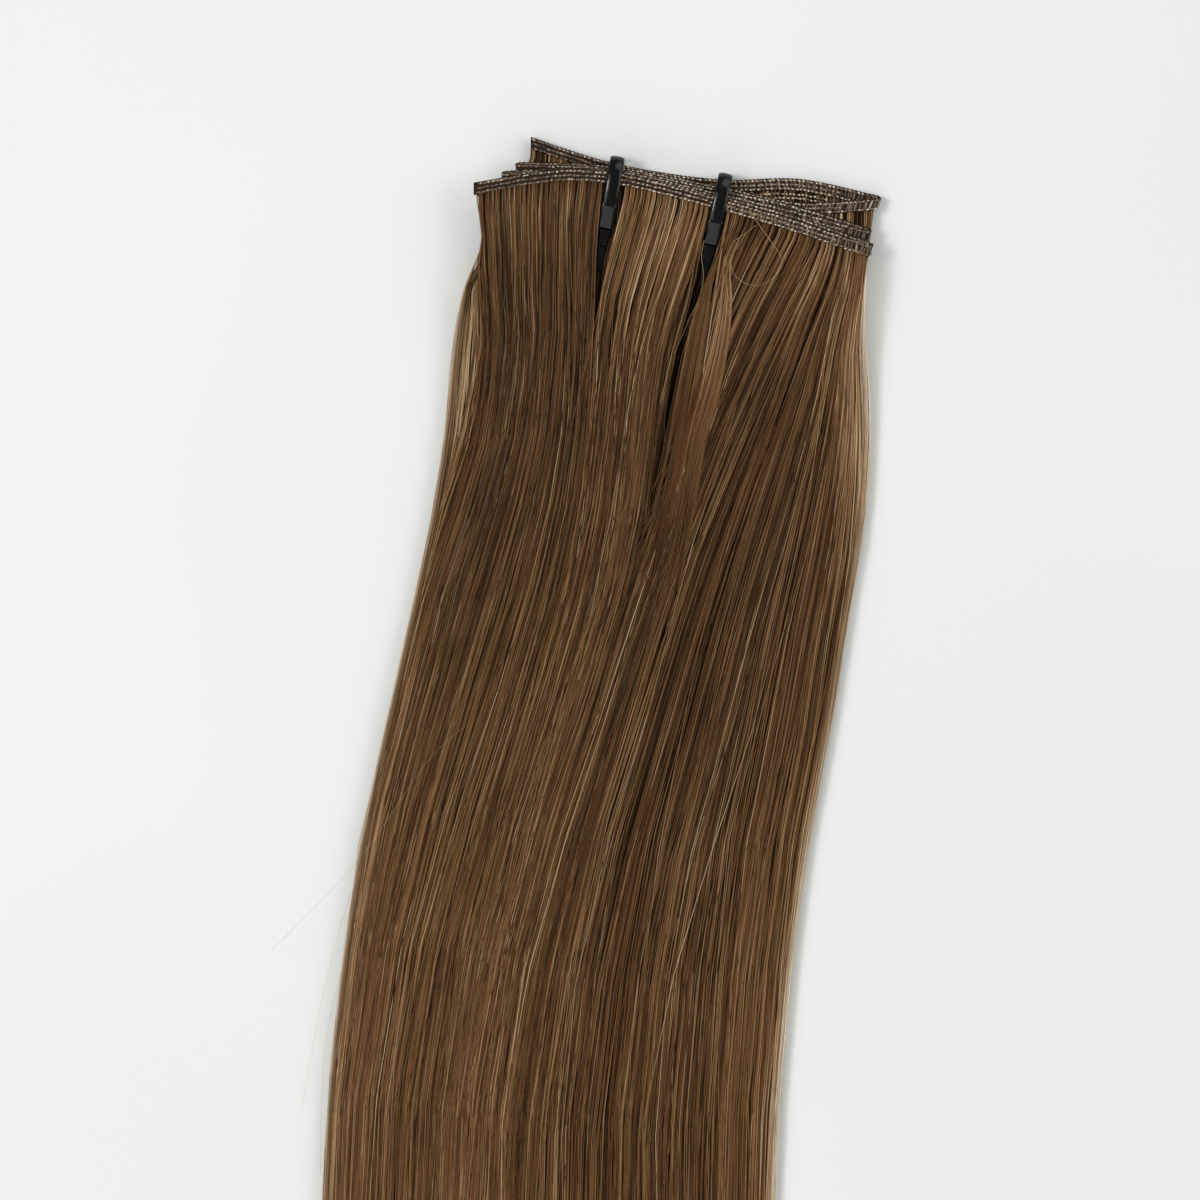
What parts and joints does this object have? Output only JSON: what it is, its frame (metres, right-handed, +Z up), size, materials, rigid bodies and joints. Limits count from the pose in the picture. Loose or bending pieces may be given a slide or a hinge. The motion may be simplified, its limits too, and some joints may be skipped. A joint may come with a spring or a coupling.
{
  "type": "invisible weft hair extension",
  "caption": "Long dark brown hair extension: a thin stitched weft folded to and fro in a stack, held by black cable ties, with its straight hair lying flat in layers.",
  "frame": {"origin": "middle of the table area under the extension, at the table's surface", "axes": "+Z up from the table, +Y along the hair from the tips towards the weft, +X to the right as seen from above"},
  "size_m": [0.1405, 0.414, 0.0095],
  "materials": {
    "human_hair": "glossy strands",
    "stitched_weft": "machine stitched",
    "nylon": "moulded, glossy"
  },
  "bodies": {
    "root": {"weft_band": "stitched_weft", "hair_layer_1": "human_hair", "hair_layer_2": "human_hair", "hair_layer_3": "human_hair", "hair_layer_4": "human_hair", "hair_layer_5": "human_hair", "hair_layer_6": "human_hair", "tie_left": "nylon", "tie_right": "nylon"}
  },
  "joints": []
}
